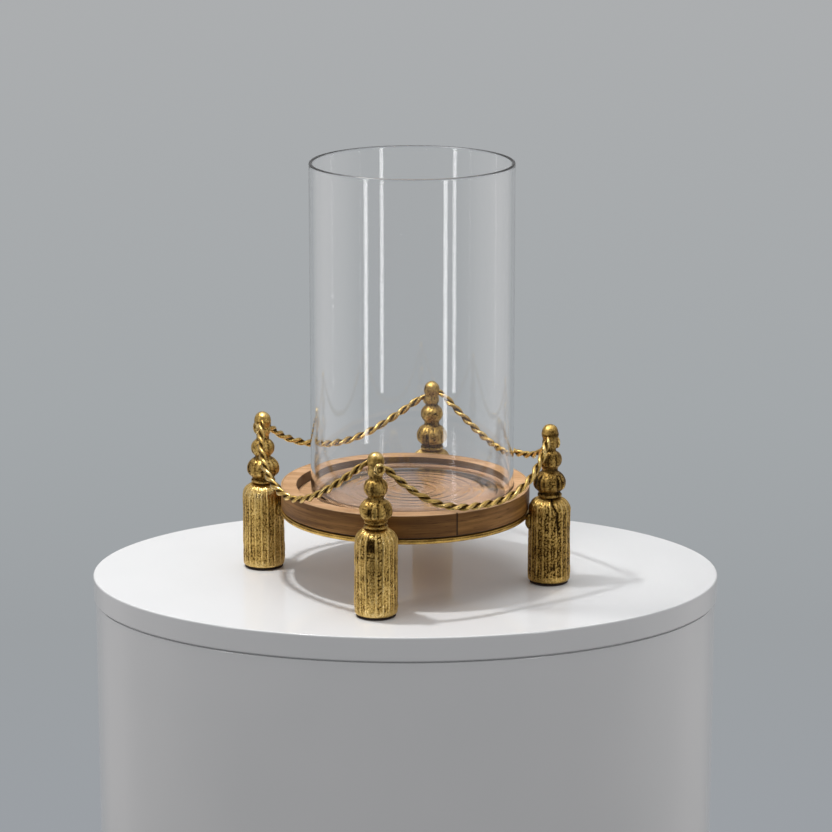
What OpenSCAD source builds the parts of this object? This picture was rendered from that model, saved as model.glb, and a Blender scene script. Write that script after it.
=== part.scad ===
// Hurricane candle lantern: an open glass cylinder standing in a round wooden
// tray, carried by a brass ring on four cast tassel legs that are joined by
// swags of twisted wire.
// Frame: +Z up, origin on the table at the centre of the four legs.
// Front is -Y, right is +X, rear is +Y, left is -X.

/* [Glass] */
// Outside diameter of the glass cylinder
glass_d = 150; // [140:1:152]
// Height of the glass cylinder
glass_h = 248.5; // [180:0.5:300]
// Thickness of the glass wall
glass_wall = 2.5; // [2:0.5:4]
// Thickness of the glass floor
glass_floor = 4; // [3:0.5:6]
// Radius of the rounded heel, where the wall turns into the floor
glass_heel_r = 6; // [5:0.5:8]
// How far the glass stands from the tray's centre, towards the right
glass_shift_x = 5; // [0:0.5:5]
// How far the glass stands from the tray's centre, towards the rear
glass_shift_y = 1; // [-1:0.5:1]

/* [Tray] */
// Outside diameter of the tray with its edge band
tray_d = 184; // [180:1:184]
// Height of the tray's top face above the table
tray_top_z = 69.6; // [68:0.1:72]
// Height of the recess floor, which the glass stands on
recess_floor_z = 61.5; // [60:0.5:66]
// Diameter of the recess
recess_d = 161; // [160:0.5:166]
// Height of the board's underside
board_bottom_z = 52; // [51:0.5:53]
// Height of the edge band's lower edge
band_bottom_z = 53; // [52:0.5:55]
// Thickness of the edge band
band_t = 1.2; // [0.8:0.1:2]
// Direction of the edge band's butt joint, counterclockwise from the right
band_joint_angle = -55; // [-180:1:180]
// Width of the open line at the butt joint
band_joint_w = 0.3; // [0.2:0.1:0.6]

/* [Ring] */
// Outside radius of the ring that carries the tray
ring_r = 92.6; // [92.4:0.1:93]
// Width of the ring's bar, across the ring
ring_w = 9; // [6:0.5:14]
// Thickness of the ring's bar
ring_t = 3.6; // [3:0.2:5]
// Height of the ring's top face
ring_top_z = 51.7; // [50:0.1:51.7]

/* [Legs] */
// Radius of the circle that the leg axes stand on
leg_circle_r = 108; // [108:0.5:110]
// Radius of the skirt over its ribs
skirt_r = 15.6; // [14:0.1:15.6]
// Radius of the skirt's flared foot
foot_r = 16; // [15.6:0.1:17]
// Radius of the skirt between its ribs
skirt_core_r = 14.9; // [13.5:0.1:15]
// Number of ribs round a skirt
rib_count = 18; // [12:1:20]
// Height of each leg's shoulder, where the skirt meets the stem: front, right, rear, left
skirt_top_z = [65, 65, 69, 65]; // [60:0.5:70]
// Radius of the shoulder's rounding
shoulder_r = 10; // [8:0.5:12]
// Thickness of the felt pad under a leg
pad_t = 1.5; // [1:0.1:2]
// Height of the middle of each leg's large bead, in the same order
large_bead_z = [78.5, 76.5, 80.5, 76.5]; // [76:0.5:81]
// Height of the middle of each leg's small bead, in the same order
small_bead_z = [94.5, 93, 97, 91.5]; // [91:0.5:98]
// Height of each leg's eyelet, in the same order
eyelet_z = [109, 105.5, 107, 107]; // [104:0.5:110]
// Height of each leg's top, in the same order
cap_top_z = [120.5, 119.5, 122.5, 119]; // [118:0.5:123]
// Diameter of the stud that screws the stem to the skirt
stud_d = 6; // [5:0.5:6]

/* [Swags] */
// Diameter of the wire that a swag is twisted from
wire_d = 2.8; // [2:0.1:2.8]
// Distance of each wire's centre from the middle of the twist
wire_offset = 1.45; // [1.45:0.05:1.8]
// Length of one full turn of the twist
twist_pitch = 21; // [16:1:30]
// How far each swag bows outwards in plan: front-right, right-rear, rear-left, left-front
swag_bow = [22, 22, 21, 25]; // [20:0.5:26]
// Height of each swag's lowest point, in the same order
swag_low_z = [75, 79.5, 80.5, 73.5]; // [73:0.5:84]
// Height that each swag's line reaches at the legs' axes
swag_end_z = [116.5, 121, 115, 118]; // [114:0.5:121]
// Exponent of each swag's curve in height, 2 for a parabola
swag_power = [2.6, 2.4, 2.2, 1.9]; // [1.8:0.1:3]
// Exponent of each swag's bow in plan
swag_bow_power = [2.9, 3.2, 3.7, 2.6]; // [2:0.1:4]
// Rings along one wire of a swag
swag_rings = 80; // [40:1:80]

/* [Hidden] */
$fn = 96;

// Directions of the legs, counterclockwise from +X
front = -90;
right = 0;
rear = 90;
left = 180;
leg_angles = [front, right, rear, left];

glass_r = glass_d / 2;
tray_r = tray_d / 2;
board_r = tray_r - band_t;
recess_r = recess_d / 2;
edge_round = 0.6;

// Skirt: the bottom edge is rounded by a short chamfer
foot_chamfer = 1.5;
pad_inset = 0.3;
flare_low_z = 14;
flare_high_z = 34;
rib_r = 1.6;

// Stem: collar, large bead, small bead, knuckle and cap on a core
collar_r = 8.6;
collar_h = 4;
large_bead_r = 11.9;
large_bead_half_h = 8.4;
core_r = 6;
small_bead_r = 8.6;
small_bead_half_h = 7;
upper_core_r = 4.5;
knuckle_r = 5.2;
knuckle_half_h = 4;
knuckle_drop = 8.5;
cap_r = 5.9;

// Stud: its holes are 0.1 mm wider all round and 1 mm deeper at each end
stud_low_z = 48;
stud_high_z = 80;
stud_gap = 0.1;
stud_end_gap = 1;

// Eyelet: a closed loop of the swag's wire on the outside of the knuckle
eyelet_loop_r = 3.3;
eyelet_out = 6.3;
eyelet_turn = 37;

// Swag: a curve from leg axis to leg axis, numbered from 0 at the front-right;
// its wires start inside the cap, at this distance from the leg's axis
half_chord = leg_circle_r * sin(45);
wire_start = 4;
wire_sides = 8;

brass = "#a98743";
dark_brass = "#7c6231";
wood = "#c79a6b";
edge_wood = "#6f4c33";

module at_leg(angle) {
    rotate([0, 0, angle])
        translate([leg_circle_r, 0, 0])
            children();
}

// Half section of a round bead: r out from the axis at its middle, and half_h
// high on either side of it
module bead_section(r, z, half_h) {
    intersection() {
        translate([r - half_h, z])
            circle(r = half_h);
        translate([0, z - half_h])
            square([r, 2 * half_h]);
    }
    translate([0, z - half_h])
        square([r - half_h, 2 * half_h]);
}

// ---- legs ----

module skirt_section(top_z) {
    polygon([
        [0, pad_t],
        [foot_r - foot_chamfer, pad_t],
        [foot_r, pad_t + foot_chamfer],
        [foot_r, flare_low_z],
        [skirt_r, flare_high_z],
        [skirt_r, top_z - shoulder_r],
        [0, top_z - shoulder_r]
    ]);
    intersection() {
        translate([skirt_r - shoulder_r, top_z - shoulder_r])
            circle(r = shoulder_r);
        translate([0, top_z - shoulder_r])
            square([skirt_r, shoulder_r]);
    }
    translate([0, top_z - shoulder_r])
        square([skirt_r - shoulder_r, shoulder_r]);
}

module ribbed_column(h) {
    cylinder(r = skirt_core_r, h = h);
    for (i = [0 : rib_count - 1])
        rotate([0, 0, i * 360 / rib_count])
            translate([foot_r - rib_r, 0, 0])
                cylinder(r = rib_r, h = h);
}

module stud_hole() {
    translate([0, 0, stud_low_z - stud_end_gap])
        cylinder(d = stud_d + 2 * stud_gap, h = stud_high_z - stud_low_z + 2 * stud_end_gap);
}

module tassel_skirt(leg) {
    color(brass)
        difference() {
            at_leg(leg_angles[leg])
                difference() {
                    intersection() {
                        ribbed_column(skirt_top_z[leg]);
                        rotate_extrude()
                            skirt_section(skirt_top_z[leg]);
                    }
                    stud_hole();
                }
            ring_body();
        }
}

module stem_section(leg) {
    cap_z = cap_top_z[leg] - cap_r;
    translate([0, skirt_top_z[leg]])
        square([collar_r, collar_h]);
    translate([0, skirt_top_z[leg]])
        square([core_r, small_bead_z[leg] - skirt_top_z[leg]]);
    bead_section(large_bead_r, large_bead_z[leg], large_bead_half_h);
    bead_section(small_bead_r, small_bead_z[leg], small_bead_half_h);
    translate([0, small_bead_z[leg]])
        square([upper_core_r, cap_z - small_bead_z[leg]]);
    bead_section(knuckle_r, cap_z - knuckle_drop, knuckle_half_h);
    intersection() {
        translate([0, cap_z])
            circle(r = cap_r);
        translate([0, cap_z - cap_r])
            square([cap_r, 2 * cap_r]);
    }
}

module tassel_stem(leg) {
    color(brass)
        at_leg(leg_angles[leg])
            difference() {
                rotate_extrude()
                    stem_section(leg);
                stud_hole();
            }
}

module stem_studs() {
    color("silver")
        for (angle = leg_angles)
            at_leg(angle)
                translate([0, 0, stud_low_z])
                    cylinder(d = stud_d, h = stud_high_z - stud_low_z);
}

module wire_eyelet(leg) {
    color(brass)
        at_leg(leg_angles[leg])
            rotate([0, 0, eyelet_turn])
                translate([eyelet_out, 0, eyelet_z[leg]])
                    rotate([0, 90, 0])
                        rotate_extrude()
                            translate([eyelet_loop_r, 0])
                                circle(d = wire_d);
}

module felt_pad(angle) {
    color("#2a1a18")
        at_leg(angle)
            cylinder(r = foot_r - foot_chamfer - pad_inset, h = pad_t);
}

// ---- swags ----

function unit(v) = v / norm(v);

// Point of a swag's line; t runs from -1 at one leg to 1 at the other.
// Local x runs along the chord and local y points outwards.
function swag_point(swag, t) = [
    half_chord * t,
    half_chord + swag_bow[swag] * (1 - pow(abs(t), swag_bow_power[swag])),
    swag_low_z[swag] + (swag_end_z[swag] - swag_low_z[swag]) * pow(abs(t), swag_power[swag])
];

// The swag's line as evenly spaced values of t, cut off inside the caps
function swag_line(swag) =
    let (end_t = 1 - wire_start / norm([half_chord, swag_bow[swag] * swag_bow_power[swag]]))
        [for (i = [0 : swag_rings - 1]) swag_point(swag, end_t * (2 * i / (swag_rings - 1) - 1))];

// Length run along a line of points up to each point
function line_run(points) = [
    for (i = 0, run = 0; i < len(points);
         run = run + (i < len(points) - 1 ? norm(points[i + 1] - points[i]) : 0), i = i + 1)
        run
];

function along(points, i) =
    unit(points[min(i + 1, len(points) - 1)] - points[max(i - 1, 0)]);

// A pair of directions square to the line at a point
function side_a(points, i) = unit(cross([0, 1, 0], along(points, i)));
function side_b(points, i) = cross(along(points, i), side_a(points, i));

// One wire's own line, wound left-handed round the swag's line
function wire_line(swag, phase) =
    let (line = swag_line(swag), run = line_run(line))
        [for (i = [0 : len(line) - 1])
            let (turn = phase - 360 * run[i] / twist_pitch)
                line[i] + wire_offset * (cos(turn) * side_a(line, i) + sin(turn) * side_b(line, i))];

module swept_wire(line) {
    last = len(line) - 1;
    points = [
        for (i = [0 : last])
            for (k = [0 : wire_sides - 1])
                let (a = 360 * k / wire_sides)
                    line[i] + wire_d / 2 * (cos(a) * side_a(line, i) + sin(a) * side_b(line, i))
    ];
    sides = [
        for (i = [0 : last - 1])
            for (k = [0 : wire_sides - 1])
                let (here = i * wire_sides,
                     ahead = here + wire_sides,
                     next = (k + 1) % wire_sides)
                    each [[here + k, ahead + k, ahead + next],
                          [here + k, ahead + next, here + next]]
    ];
    first_end = [for (k = [0 : wire_sides - 1]) k];
    last_end = [for (k = [wire_sides - 1 : -1 : 0]) last * wire_sides + k];
    polyhedron(points, concat([first_end], sides, [last_end]));
}

// A wire of one swag; swag 0 runs from the front leg to the right one
module swag_wire(swag, phase) {
    color(dark_brass)
        rotate([0, 0, leg_angles[swag] - 45])
            swept_wire(wire_line(swag, phase));
}

// ---- ring ----

module ring_section() {
    translate([ring_r - ring_w, ring_top_z - ring_t])
        square([ring_w - ring_t / 2, ring_t]);
    translate([ring_r - ring_t / 2, ring_top_z - ring_t / 2])
        circle(d = ring_t);
}

module ring_body() {
    rotate_extrude()
        ring_section();
}

module tray_ring() {
    color(brass)
        ring_body();
}

// Braze metal: a short bead in each narrow corner between the ring and a skirt
braze_h = 3;
braze_d = 2.8;
braze_side = 5.5;
braze_out = 92.9;
module ring_brazing() {
    color(dark_brass)
        for (angle = leg_angles, side = [-1, 1])
            rotate([0, 0, angle])
                translate([braze_out, side * braze_side, ring_top_z - ring_t / 2 - braze_h / 2])
                    cylinder(d = braze_d, h = braze_h);
}

// ---- tray ----

module tray_board() {
    color(wood)
        difference() {
            translate([0, 0, board_bottom_z])
                cylinder(r = board_r, h = tray_top_z - board_bottom_z);
            translate([0, 0, recess_floor_z])
                cylinder(r = recess_r, h = tray_top_z);
        }
}

module tray_edge_band() {
    color(edge_wood)
        difference() {
            rotate_extrude()
                translate([board_r, 0])
                    polygon([
                        [0, band_bottom_z],
                        [band_t, band_bottom_z],
                        [band_t, tray_top_z - edge_round],
                        [band_t - edge_round, tray_top_z],
                        [0, tray_top_z]
                    ]);
            rotate([0, 0, band_joint_angle])
                translate([board_r - 1, -band_joint_w / 2, band_bottom_z - 1])
                    cube([band_t + 2, band_joint_w, tray_top_z]);
        }
}

// ---- glass ----

// Half section of a cup's space: straight side, flat floor and round heel
module heeled_section(r, h, heel) {
    translate([0, heel])
        square([r, h - heel]);
    square([r - heel, heel]);
    translate([r - heel, heel])
        circle(r = heel);
}

module glass_cylinder() {
    lip_r = glass_wall / 2;
    color("#b9c6c4", 0.35)
        translate([glass_shift_x, glass_shift_y, recess_floor_z])
            rotate_extrude() {
                difference() {
                    heeled_section(glass_r, glass_h - lip_r, glass_heel_r);
                    translate([0, glass_floor])
                        heeled_section(glass_r - glass_wall, glass_h, glass_heel_r - glass_wall);
                }
                translate([glass_r - lip_r, glass_h - lip_r])
                    circle(r = lip_r);
            }
}

tassel_skirt(0);  // tassel_skirt_front
tassel_skirt(1);  // tassel_skirt_right
tassel_skirt(2);  // tassel_skirt_rear
tassel_skirt(3);  // tassel_skirt_left
tassel_stem(0);  // tassel_stem_front
tassel_stem(1);  // tassel_stem_right
tassel_stem(2);  // tassel_stem_rear
tassel_stem(3);  // tassel_stem_left
wire_eyelet(0);  // wire_eyelet_front
wire_eyelet(1);  // wire_eyelet_right
wire_eyelet(2);  // wire_eyelet_rear
wire_eyelet(3);  // wire_eyelet_left
felt_pad(front);  // felt_pad_front
felt_pad(right);  // felt_pad_right
felt_pad(rear);  // felt_pad_rear
felt_pad(left);  // felt_pad_left
swag_wire(0, 0);  // swag_front_right_wire_a
swag_wire(0, 180);  // swag_front_right_wire_b
swag_wire(1, 0);  // swag_right_rear_wire_a
swag_wire(1, 180);  // swag_right_rear_wire_b
swag_wire(2, 0);  // swag_rear_left_wire_a
swag_wire(2, 180);  // swag_rear_left_wire_b
swag_wire(3, 0);  // swag_left_front_wire_a
swag_wire(3, 180);  // swag_left_front_wire_b
stem_studs();
tray_ring();
ring_brazing();
tray_board();
tray_edge_band();
glass_cylinder();
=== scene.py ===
"""A hurricane candle lantern: a glass cylinder in a wooden tray, on four cast brass
tassel legs that are joined by swags of twisted wire.

Shapes are worked out in millimetres, in the frame of the CAD model, and become metres
in add_piece(). +Z is up, the front leg is at -Y and the right leg at +X.
"""

import math

import bpy
import numpy as np
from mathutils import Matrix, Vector


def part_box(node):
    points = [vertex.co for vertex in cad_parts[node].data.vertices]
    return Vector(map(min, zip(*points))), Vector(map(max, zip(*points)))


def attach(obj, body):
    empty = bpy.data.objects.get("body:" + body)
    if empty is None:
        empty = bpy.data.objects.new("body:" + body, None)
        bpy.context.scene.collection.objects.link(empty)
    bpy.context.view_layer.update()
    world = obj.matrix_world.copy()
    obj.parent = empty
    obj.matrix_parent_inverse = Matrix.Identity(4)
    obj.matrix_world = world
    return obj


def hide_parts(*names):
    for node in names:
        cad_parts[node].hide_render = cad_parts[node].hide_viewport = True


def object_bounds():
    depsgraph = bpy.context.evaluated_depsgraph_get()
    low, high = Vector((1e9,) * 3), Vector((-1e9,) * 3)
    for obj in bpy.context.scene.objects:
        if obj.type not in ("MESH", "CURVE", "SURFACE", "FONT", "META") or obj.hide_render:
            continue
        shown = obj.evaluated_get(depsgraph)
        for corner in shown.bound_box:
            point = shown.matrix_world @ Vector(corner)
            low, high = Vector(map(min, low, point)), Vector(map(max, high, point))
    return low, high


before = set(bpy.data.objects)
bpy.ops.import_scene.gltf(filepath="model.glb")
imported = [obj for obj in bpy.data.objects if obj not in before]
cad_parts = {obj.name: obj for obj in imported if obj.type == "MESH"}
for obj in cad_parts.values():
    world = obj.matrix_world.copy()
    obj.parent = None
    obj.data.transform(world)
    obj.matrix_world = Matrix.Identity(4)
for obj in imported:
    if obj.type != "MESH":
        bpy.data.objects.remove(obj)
cad_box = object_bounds()

MM = 0.001


# ---- sizes, in millimetres, read from the CAD nodes ----


def node_box(node):
    """Lowest and highest corner of a CAD node, in millimetres."""
    low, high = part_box(node)
    return np.array(low) / MM, np.array(high) / MM


LEGS = {"front": -90, "right": 0, "rear": 90, "left": 180}

pad_low, pad_high = node_box("felt_pad_right")
skirt_low, skirt_high = node_box("tassel_skirt_right")
ring_low, ring_high = node_box("tray_ring")
board_low, board_high = node_box("tray_board")
band_low, band_high = node_box("tray_edge_band")
glass_low, glass_high = node_box("glass_cylinder")

LEG_CIRCLE_R = (pad_low[0] + pad_high[0]) / 2
PAD_R = (pad_high[1] - pad_low[1]) / 2
PAD_T = pad_high[2]
FOOT_R = (skirt_high[1] - skirt_low[1]) / 2
SKIRT_TOP_Z = {side: node_box(f"tassel_skirt_{side}")[1][2] for side in LEGS}
CAP_TOP_Z = {side: node_box(f"tassel_stem_{side}")[1][2] for side in LEGS}
RING_R = ring_high[0]
RING_TOP_Z = ring_high[2]
RING_T = ring_high[2] - ring_low[2]
BOARD_R = board_high[0]
BOARD_BOTTOM_Z = board_low[2]
TRAY_R = band_high[0]
TRAY_TOP_Z = band_high[2]
BAND_BOTTOM_Z = band_low[2]
GLASS_X, GLASS_Y = (glass_low[:2] + glass_high[:2]) / 2
GLASS_R = (glass_high[0] - glass_low[0]) / 2
GLASS_LOW_Z = glass_low[2]
GLASS_TOP_Z = glass_high[2]

# ---- sizes that the boxes don't show, as in the CAD source ----

SKIRT_R = 15.6
FLARE_LOW_Z = 14
FLARE_HIGH_Z = 34
SHOULDER_R = 10
LARGE_BEAD_Z = {"front": 78.5, "right": 76.5, "rear": 80.5, "left": 76.5}
SMALL_BEAD_Z = {"front": 94.5, "right": 93, "rear": 97, "left": 91.5}
LARGE_BEAD_HALF_H = 8.4
SMALL_BEAD_HALF_H = 7
RECESS_R = 80.5
RECESS_FLOOR_Z = GLASS_LOW_Z
RING_W = 9
BAND_JOINT_ANGLE = -55
BAND_JOINT_W = 0.3
GLASS_WALL = 2.5
GLASS_FLOOR = 4
GLASS_HEEL_R = 6
BRAZE_OUT = 92.9
BRAZE_SIDE = 5.5
BRAZE_Z = 46.8
BRAZE_HALF_H = 5.6
EYELET_LOOP_R = 3.3
EYELET_OUT = {"front": 6.3, "right": 5.3, "rear": 6.0, "left": 5.0}
EYELET_TURN = 37
WIRE_D = 2.8
WIRE_OFFSET = 1.45
WIRE_START = 4
WIRE_TUCK = 1.3
TWIST_PITCH = 21

# Each swag: its legs, its bow in plan, low point, end height and two exponents
SWAGS = [
    ("front_right", -90, 22, 75, 116.5, 2.6, 2.9),
    ("right_rear", 0, 22, 79.5, 121, 2.4, 3.2),
    ("rear_left", 90, 21, 80.5, 115, 2.2, 3.7),
    ("left_front", 180, 25, 73.5, 118, 1.9, 2.6),
]


# ---- outlines and meshes ----


def unit(vectors):
    return vectors / np.linalg.norm(vectors, axis=-1, keepdims=True)


def fade(values, start, end):
    """0 before start, 1 after end and a smooth rise between them."""
    t = np.clip((values - start) / (end - start), 0, 1)
    return t * t * (3 - 2 * t)


def bump_at(values, centre, width):
    """A rounded hill of height 1."""
    return np.exp(-(((values - centre) / width) ** 2))


def line(a, b, steps=1):
    """Points from a to b, without b."""
    share = np.arange(steps)[:, None] / steps
    return np.array(a, float) * (1 - share) + np.array(b, float) * share


def held_line(a, b, hold=0.4):
    """A straight stretch from a to b, without b, with points near both ends that keep
    its shading flat beside a rounded edge."""
    a, b = np.array(a, float), np.array(b, float)
    step = unit(b - a) * hold
    return np.array([a, a + step, b - step])


def arc(centre, radius, start, end, steps=8):
    """Points on an arc, in degrees counterclockwise from outwards, both ends included."""
    angle = np.radians(np.linspace(start, end, steps + 1))
    return np.array(centre, float) + radius * np.stack([np.cos(angle), np.sin(angle)], -1)


def resample(points, count):
    """The same outline as evenly spaced points."""
    run = np.concatenate([[0], np.cumsum(np.linalg.norm(np.diff(points, axis=0), axis=1))])
    places = np.linspace(0, run[-1], count)
    return np.stack([np.interp(places, run, points[:, k]) for k in (0, 1)], -1)


def outline_normals(section):
    """Directions square to an outline that runs counterclockwise round its solid."""
    tangent = unit(np.gradient(section, axis=0))
    return np.stack([tangent[:, 1], -tangent[:, 0]], -1)


def around(count):
    """Directions round a circle, in radians."""
    return np.arange(count) * 2 * math.pi / count


def turned(radius, height, angle, centre=(0, 0)):
    """Points at a radius, height and direction round an upright axis."""
    x = centre[0] + radius * np.cos(angle)
    y = centre[1] + radius * np.sin(angle)
    return np.stack([x, y, height + 0 * angle], -1)


def spun(x, y, z, degrees):
    """Points turned counterclockwise about the lantern's upright axis."""
    spin = math.radians(degrees)
    across = x * math.cos(spin) - y * math.sin(spin)
    return np.stack([across, x * math.sin(spin) + y * math.cos(spin), z], -1)


def noise_grid(rng, shape, cells):
    """Smooth random values from -1 to 1 on a grid whose columns join up."""
    rows, cols = cells
    knots = rng.uniform(-1, 1, (rows + 2, cols))
    y = np.linspace(0, rows, shape[0])
    x = np.arange(shape[1]) * cols / shape[1]
    row, col = y.astype(int), x.astype(int)
    v = fade(y - row, 0, 1)[:, None]
    u = fade(x - col, 0, 1)[None, :]
    col_next = (col + 1) % cols
    low = knots[row][:, col] * (1 - u) + knots[row][:, col_next] * u
    high = knots[row + 1][:, col] * (1 - u) + knots[row + 1][:, col_next] * u
    return low * (1 - v) + high * v


def tube_mesh(grid, looped=False):
    """Points and faces of a surface through a grid of points. Its columns join up. Its
    rows join up too if looped, and are otherwise closed by a fan at each end."""
    rows, cols = grid.shape[:2]
    here = np.arange(rows * cols).reshape(rows, cols)
    beside = np.roll(here, -1, axis=1)
    quads = np.stack(
        [here, beside, np.roll(beside, -1, axis=0), np.roll(here, -1, axis=0)], axis=-1
    )
    points = grid.reshape(-1, 3)
    if looped:
        return points, quads.reshape(-1, 4).tolist()
    faces = quads[:-1].reshape(-1, 4).tolist()
    first, last = len(points), len(points) + 1
    faces += [[first, b, a] for a, b in zip(here[0].tolist(), beside[0].tolist())]
    faces += [[last, a, b] for a, b in zip(here[-1].tolist(), beside[-1].tolist())]
    return np.vstack([points, grid[0].mean(0), grid[-1].mean(0)]), faces


def with_ends(values):
    """A grid of values as a list that fits tube_mesh's points, with its two end points."""
    values = np.asarray(values, float)
    return np.concatenate([values.ravel(), [values[0].mean(), values[-1].mean()]])


def make_object(name, points, faces, material, relief=None):
    mesh = bpy.data.meshes.new(name)
    mesh.from_pydata((np.asarray(points) * MM).tolist(), [], faces)
    mesh.polygons.foreach_set("use_smooth", [True] * len(mesh.polygons))
    if relief is not None:
        attribute = mesh.attributes.new("relief", "FLOAT", "POINT")
        attribute.data.foreach_set("value", np.asarray(relief, np.float32).ravel())
    mesh.materials.append(material)
    mesh.update()
    piece = bpy.data.objects.new(name, mesh)
    bpy.context.scene.collection.objects.link(piece)
    return piece


def add_piece(name, node, body, points, faces, material, relief=None):
    """A piece of the object that stands for a CAD node."""
    piece = make_object(name, points, faces, material, relief)
    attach(piece, body)
    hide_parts(node)
    return piece


# ---- materials ----


class Nodes:
    """The nodes of a new material or world, and short ways to add to them."""

    def __init__(self, owner):
        owner.use_nodes = True
        self.owner = owner
        self.tree = owner.node_tree
        self.shader = self.tree.nodes.get("Principled BSDF")

    def add(self, kind, **settings):
        node = self.tree.nodes.new(kind)
        for key, value in settings.items():
            setattr(node, key, value)
        return node

    def link(self, source, target):
        self.tree.links.new(source, target)

    def scaled(self, vector, stretch):
        node = self.add("ShaderNodeVectorMath", operation="MULTIPLY")
        self.link(vector, node.inputs[0])
        node.inputs[1].default_value = stretch
        return node.outputs[0]

    def place(self, stretch=(1, 1, 1)):
        """Object coordinates, in metres, multiplied by stretch."""
        return self.scaled(self.add("ShaderNodeTexCoord").outputs["Object"], stretch)

    def attribute(self, name):
        return self.add("ShaderNodeAttribute", attribute_name=name)

    def noise(self, place, scale, detail=3.0, roughness=0.55, distortion=0.0):
        node = self.add("ShaderNodeTexNoise")
        self.link(place, node.inputs["Vector"])
        node.inputs["Scale"].default_value = scale
        node.inputs["Detail"].default_value = detail
        node.inputs["Roughness"].default_value = roughness
        node.inputs["Distortion"].default_value = distortion
        return node.outputs["Fac"]

    def math(self, operation, a, b=None, c=None, clamp=False):
        node = self.add("ShaderNodeMath", operation=operation, use_clamp=clamp)
        for socket, value in zip(node.inputs, (a, b, c)):
            if value is None:
                continue
            if isinstance(value, (int, float)):
                socket.default_value = value
            else:
                self.link(value, socket)
        return node.outputs[0]

    def ramp(self, factor, stops):
        """A colour ramp through (place, colour) stops."""
        node = self.add("ShaderNodeValToRGB")
        elements = node.color_ramp.elements
        while len(elements) < len(stops):
            elements.new(0.5)
        for element, (place, colour) in zip(elements, stops):
            element.position = place
            element.color = (*colour, 1)
        self.link(factor, node.inputs["Fac"])
        return node.outputs["Color"]

    def range(self, value, low, high, to_low, to_high):
        node = self.add("ShaderNodeMapRange")
        self.link(value, node.inputs["Value"])
        numbers = (low, high, to_low, to_high)
        for key, number in zip(("From Min", "From Max", "To Min", "To Max"), numbers):
            node.inputs[key].default_value = number
        return node.outputs["Result"]

    def mix(self, factor, a, b, blend="MIX"):
        node = self.add("ShaderNodeMix", data_type="RGBA", blend_type=blend)
        for socket, value in zip((node.inputs[0], node.inputs[6], node.inputs[7]), (factor, a, b)):
            if isinstance(value, (int, float)):
                socket.default_value = value
            elif isinstance(value, tuple):
                socket.default_value = (*value, 1)
            else:
                self.link(value, socket)
        return node.outputs[2]

    def bump(self, height, distance):
        """Bump from a height of 0 to 1 that stands for distance metres."""
        node = self.add("ShaderNodeBump")
        self.link(height, node.inputs["Height"])
        node.inputs["Distance"].default_value = distance
        self.link(node.outputs["Normal"], self.shader.inputs["Normal"])


def new_material(name):
    return Nodes(bpy.data.materials.new(name))


SPECKS_SCALE = 900
PATCHES_SCALE = 110
PITS_SCALE = 1500
PATINA_ROUGHNESS = 0.6
PATINA_BY_SPECKS = 0.85
PATINA_BY_PATCHES = 0.5


def brass_material(name, stops, wear, pits, gloss):
    """Antique brass: dark patina where the relief is low or the noise says so, and rubbed
    gold on what stands proud. stops are its colours, wear moves the whole finish towards
    gold, pits is their depth in millimetres, and gloss is the roughness of rubbed metal."""
    m = new_material(name)
    place = m.place()
    specks = m.math("SUBTRACT", m.noise(place, SPECKS_SCALE, detail=3), 0.5)
    patches = m.math("SUBTRACT", m.noise(place, PATCHES_SCALE, detail=2), 0.5)
    level = m.math("ADD", m.attribute("relief").outputs["Fac"], wear)
    level = m.math("MULTIPLY_ADD", specks, PATINA_BY_SPECKS, level)
    level = m.math("MULTIPLY_ADD", patches, PATINA_BY_PATCHES, level, clamp=True)
    m.link(m.ramp(level, stops), m.shader.inputs["Base Color"])
    m.link(m.range(level, 0, 1, PATINA_ROUGHNESS, gloss), m.shader.inputs["Roughness"])
    m.shader.inputs["Metallic"].default_value = 1.0
    m.bump(m.noise(place, PITS_SCALE, detail=2), pits * MM)
    return m.owner


# Colours of the patina and of the metal, from dark to rubbed
BRASS_STOPS = [
    (0.0, (0.030, 0.016, 0.005)),
    (0.25, (0.17, 0.098, 0.024)),
    (0.5, (0.44, 0.28, 0.078)),
    (0.75, (0.66, 0.445, 0.14)),
    (1.0, (0.88, 0.65, 0.28)),
]
RING_STOPS = [
    (0.0, (0.16, 0.09, 0.022)),
    (0.35, (0.50, 0.31, 0.08)),
    (0.7, (0.74, 0.49, 0.14)),
    (1.0, (0.88, 0.64, 0.24)),
]


def steel_material():
    """Turned steel, for the studs inside the legs."""
    m = new_material("stud_steel")
    streaks = m.noise(m.place((1, 1, 8)), 400, detail=3)
    grey = m.ramp(streaks, [(0.3, (0.36, 0.36, 0.37)), (0.7, (0.55, 0.55, 0.56))])
    m.link(grey, m.shader.inputs["Base Color"])
    m.link(m.range(streaks, 0.3, 0.7, 0.3, 0.45), m.shader.inputs["Roughness"])
    m.shader.inputs["Metallic"].default_value = 1.0
    m.bump(streaks, 0.02 * MM)
    return m.owner


def felt_material():
    """Dark pressed felt."""
    m = new_material("felt")
    place = m.place()
    fibres = m.noise(place, 2500, detail=4, distortion=1.5)
    blotches = m.noise(place, 200, detail=2)
    shade = m.math("MULTIPLY_ADD", blotches, 0.4, m.math("MULTIPLY", fibres, 0.6))
    dark = m.ramp(shade, [(0.3, (0.012, 0.008, 0.007)), (0.7, (0.05, 0.03, 0.025))])
    m.link(dark, m.shader.inputs["Base Color"])
    m.link(m.range(fibres, 0, 1, 0.85, 1.0), m.shader.inputs["Roughness"])
    m.bump(fibres, 0.3 * MM)
    return m.owner


# How much of the stain colour covers where the relief is 0: real stain and dark joints, and
# painted shade in recesses and gaps
STAIN_AND_SHADE_COVER = 0.88
PORE_COVER = 0.7


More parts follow.
